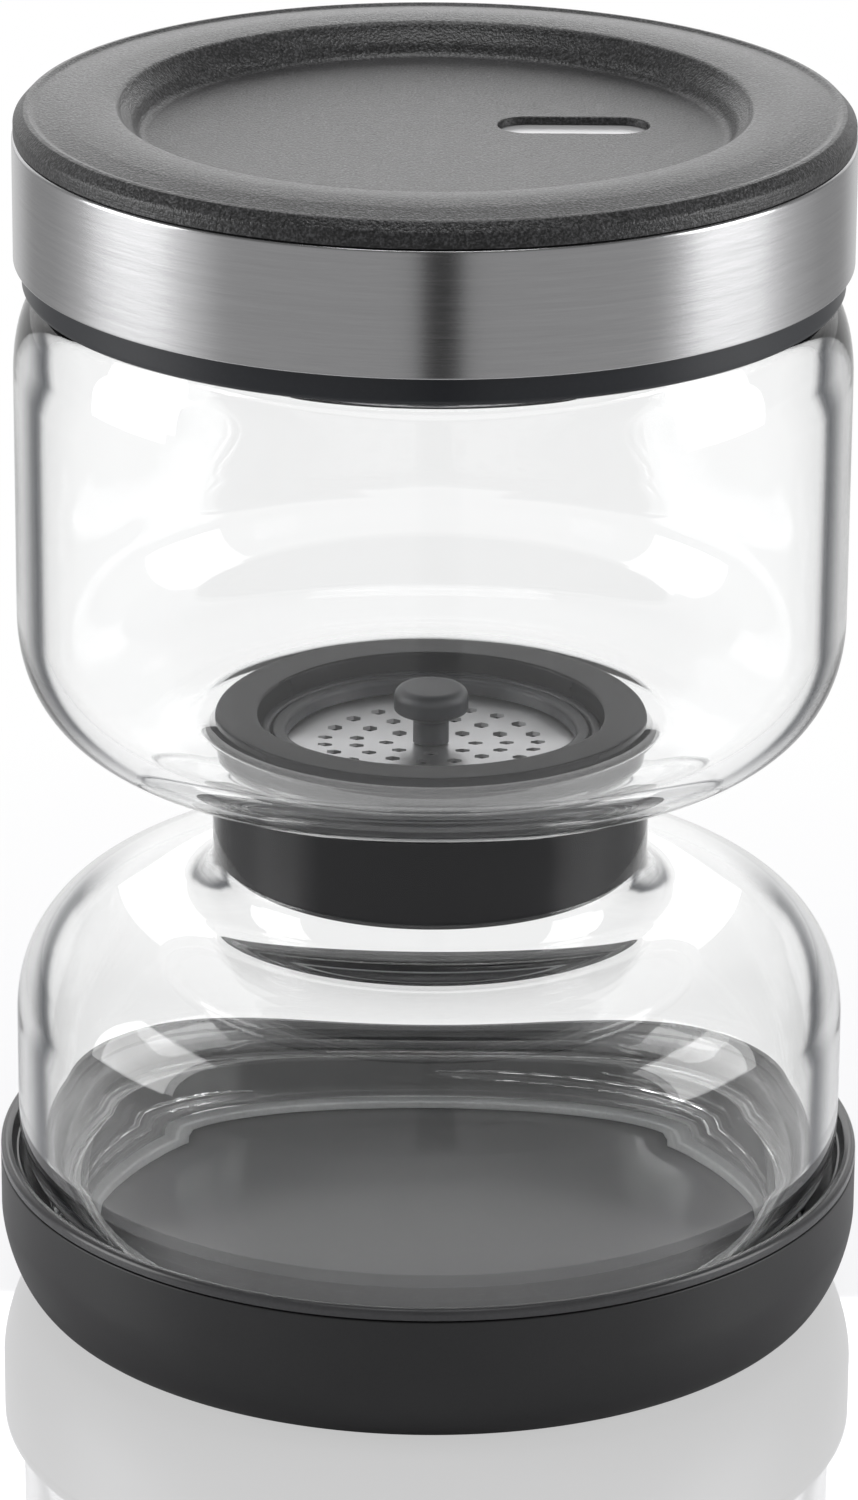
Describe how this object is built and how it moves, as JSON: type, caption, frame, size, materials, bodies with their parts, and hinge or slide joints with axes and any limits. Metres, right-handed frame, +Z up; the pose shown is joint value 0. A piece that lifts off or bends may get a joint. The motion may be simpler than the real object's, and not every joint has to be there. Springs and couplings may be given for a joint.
{
  "type": "glass storage jar",
  "caption": "Waisted glass storage jar: wide bowl over a domed lower chamber, strainer in the neck, steel-banded screw lid and screw-on base cup.",
  "frame": {"origin": "centre of the foot ring's underside, on the jar's axis", "axes": "+Z up the jar's axis from base to lid, +X towards the cap's window, -Y towards the viewer of the picture"},
  "size_m": [0.1168, 0.1168, 0.166],
  "materials": {
    "clear_glass": "polished clear",
    "cap_plastic": "fine grained charcoal",
    "core_plastic": "satin near-black",
    "band_steel": "fine brushing round the band",
    "badge_steel": "bright bare plate",
    "base_plastic": "soft-touch charcoal",
    "liner_plastic": "satin charcoal",
    "dark_silicone": "smooth dark silicone",
    "pale_silicone": "translucent pale silicone",
    "strainer_steel": "satin stainless",
    "strainer_plastic": "satin near-black"
  },
  "bodies": {
    "base": {"base_foot": "dark_silicone", "base_shell": "base_plastic", "base_liner": "liner_plastic", "base_seal": "pale_silicone"},
    "neck_sleeve": {"neck_collar": "dark_silicone"},
    "jar": {"glass_body": "clear_glass"},
    "strainer": {"strainer_frame": "strainer_plastic", "strainer_disc": "strainer_steel", "strainer_clamp": "strainer_plastic", "strainer_knob": "strainer_plastic"},
    "lid_gasket": {"lid_seal": "pale_silicone"},
    "lid": {"lid_core": "core_plastic", "lid_band": "band_steel", "lid_cap": "cap_plastic", "lid_badge": "badge_steel"}
  },
  "joints": [
    {"name": "jar_lift", "type": "slide", "parent": "base", "child": "neck_sleeve", "axis": [0, 0, 1], "range_m": [0, 0.0211]},
    {"name": "jar_turn", "type": "hinge", "parent": "neck_sleeve", "child": "jar", "pos_m": [0, 0, 0.0065], "axis": [0, 0, 1], "range_deg": [0, 630]},
    {"name": "strainer_lift", "type": "slide", "parent": "jar", "child": "strainer", "axis": [0, 0, 1], "range_m": [0, 0.045]},
    {"name": "lid_lift", "type": "slide", "parent": "jar", "child": "lid_gasket", "axis": [0, 0, 1], "range_m": [0, 0.0211]},
    {"name": "lid_turn", "type": "hinge", "parent": "lid_gasket", "child": "lid", "pos_m": [0, 0, 0.1554], "axis": [0, 0, 1], "range_deg": [0, 630]}
  ],
  "couplings": [
    {"joint": "jar_lift", "follows": "jar_turn", "m_per_rad": 0.0019099},
    {"joint": "lid_lift", "follows": "lid_turn", "m_per_rad": 0.0019099}
  ]
}
